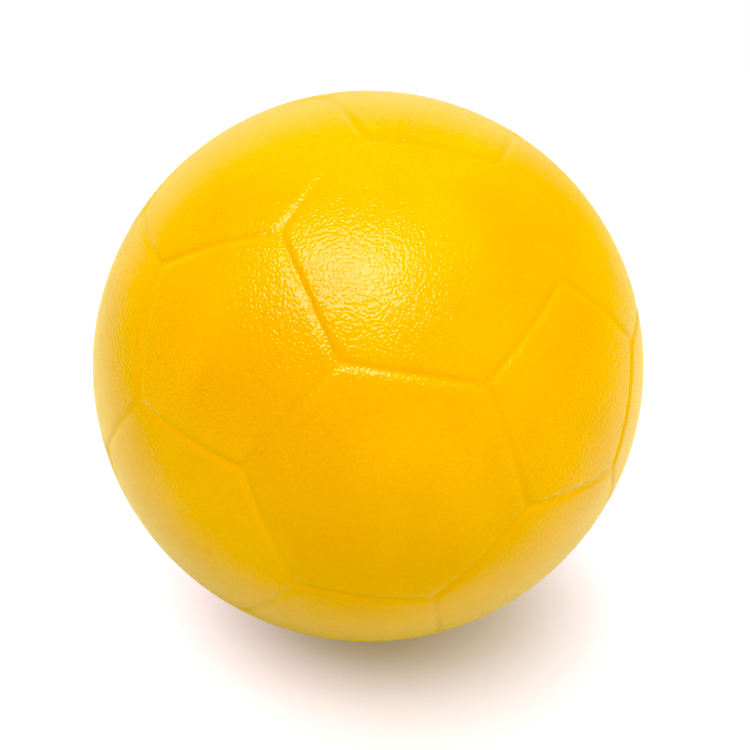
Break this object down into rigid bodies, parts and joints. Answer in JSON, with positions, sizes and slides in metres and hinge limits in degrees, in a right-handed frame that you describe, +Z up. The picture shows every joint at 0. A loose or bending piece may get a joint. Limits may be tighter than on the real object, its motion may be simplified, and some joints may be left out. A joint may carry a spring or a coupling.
{
  "type": "playground ball",
  "caption": "Inflatable moulded rubber ball with pebbled skin, moulded panel-pattern grooves and a needle valve, for kicking, throwing and bouncing games.",
  "frame": {"origin": "centre of the ball", "axes": "+Y out through the valve along its axis, +Z up, -Z towards the point that the ball rests on"},
  "size_m": [0.216, 0.2156, 0.2158],
  "materials": {
    "cover": "satin",
    "carcass_ply": "matte",
    "nylon_winding": "satin",
    "bladder": "matte",
    "valve_patch": "matte",
    "valve_boot": "satin",
    "valve_core": "satin"
  },
  "bodies": {
    "ball": {"cover": "cover", "carcass_ply": "carcass_ply", "nylon_winding": "nylon_winding", "bladder": "bladder", "valve_patch": "valve_patch", "valve_boot": "valve_boot"},
    "core": {"valve_core": "valve_core"}
  },
  "joints": [
    {"name": "valve_core_pull", "type": "slide", "parent": "ball", "child": "core", "axis": [0, 1, 0], "range_m": [0, 0.025]}
  ]
}
